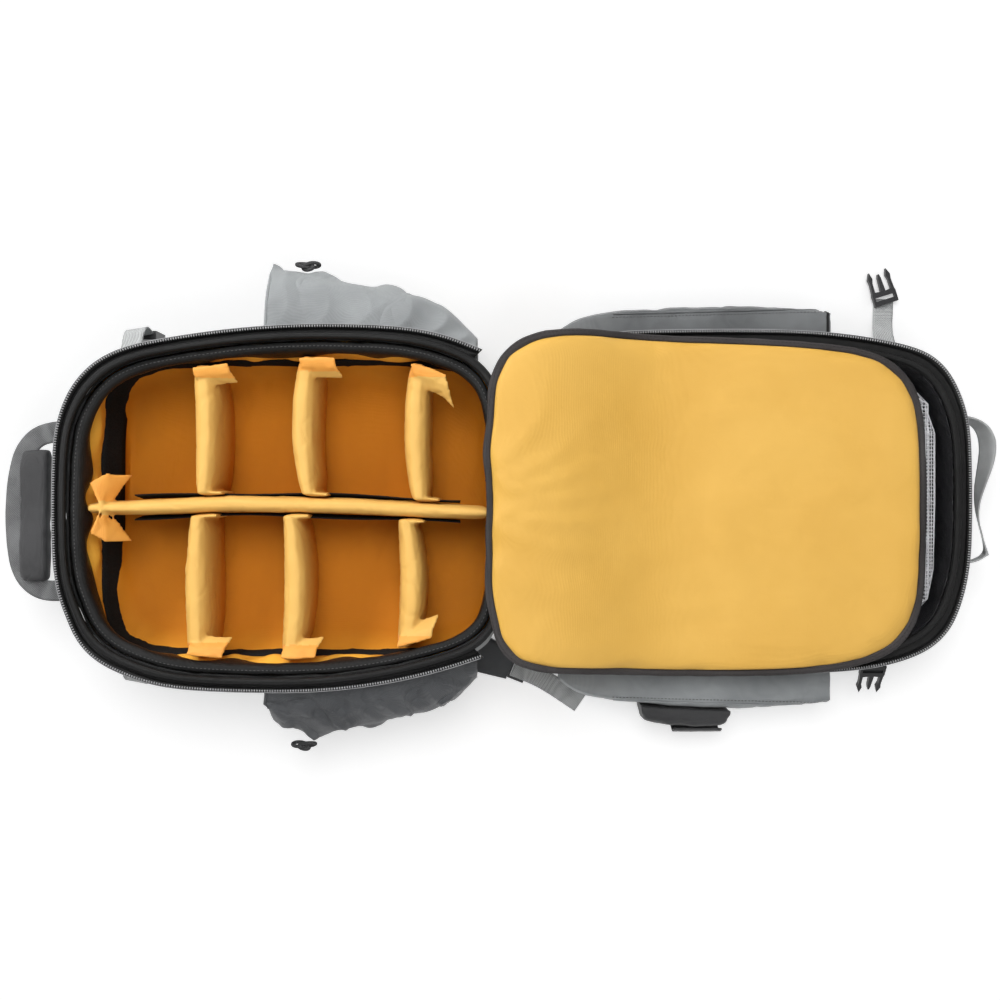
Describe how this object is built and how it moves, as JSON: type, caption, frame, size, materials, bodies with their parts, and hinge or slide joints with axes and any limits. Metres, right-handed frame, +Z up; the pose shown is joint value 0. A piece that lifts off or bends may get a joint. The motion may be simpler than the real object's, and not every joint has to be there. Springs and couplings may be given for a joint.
{
  "type": "fishing backpack, open",
  "caption": "Soft fishing backpack lying open flat: padded base with amber dividers, and a lid under a padded amber panel.",
  "frame": {"origin": "the middle of the footprint's box, on the floor", "axes": "+X from the base's end towards the lid's end, +Y across the pack, +Z up"},
  "size_m": [1.0048, 0.5064, 0.1416],
  "materials": {
    "grey_cloth": "light grey woven pack cloth, satin",
    "dark_cloth": "darker grey woven pack cloth",
    "black_cloth": "black woven cloth with a soft sheen",
    "amber_cloth": "amber padded nylon, smooth, faint sheen",
    "black_band": "black hook-and-loop band, napped",
    "binding_tape": "dark grey-brown binding tape",
    "webbing": "grey twill webbing",
    "black_plastic": "moulded black plastic, semi matt",
    "white_mesh": "pale open mesh"
  },
  "bodies": {
    "root": {"base_body": "grey_cloth", "lid_body": "grey_cloth", "bottle_pocket_upper": "grey_cloth", "side_pocket_upper": "grey_cloth", "bottle_pocket_lower": "dark_cloth", "side_pocket_lower": "dark_cloth", "back_pad": "dark_cloth", "shoulder_strap_upper": "dark_cloth", "shoulder_strap_lower": "dark_cloth", "grab_grip": "dark_cloth", "base_facing": "black_cloth", "base_zip": "black_cloth", "base_piping": "black_cloth", "lid_lining": "black_cloth", "lid_zip": "black_cloth", "lid_piping": "black_cloth", "hinge_gusset": "black_cloth", "sheath": "black_cloth", "sheath_flap": "black_cloth", "base_lining": "amber_cloth", "centre_divider": "amber_cloth", "cross_divider_upper_1": "amber_cloth", "cross_divider_upper_2": "amber_cloth", "cross_divider_upper_3": "amber_cloth", "cross_divider_lower_1": "amber_cloth", "cross_divider_lower_2": "amber_cloth", "cross_divider_lower_3": "amber_cloth", "panel_pad": "amber_cloth", "base_loop_band": "black_band", "centre_strip_upper": "black_band", "centre_strip_lower": "black_band", "panel_binding": "binding_tape", "strap_tail": "webbing", "buckle_strap_upper": "webbing", "buckle_strap_lower": "webbing", "base_strap_upper": "webbing", "base_strap_lower": "webbing", "grab_webbing": "webbing", "lid_loop": "webbing", "ladder_lock": "black_plastic", "male_buckle_upper": "black_plastic", "male_buckle_lower": "black_plastic", "female_buckle_upper": "black_plastic", "female_buckle_lower": "black_plastic", "drawcord_upper": "black_plastic", "drawcord_lower": "black_plastic", "mesh_pocket": "white_mesh"}
  },
  "joints": []
}
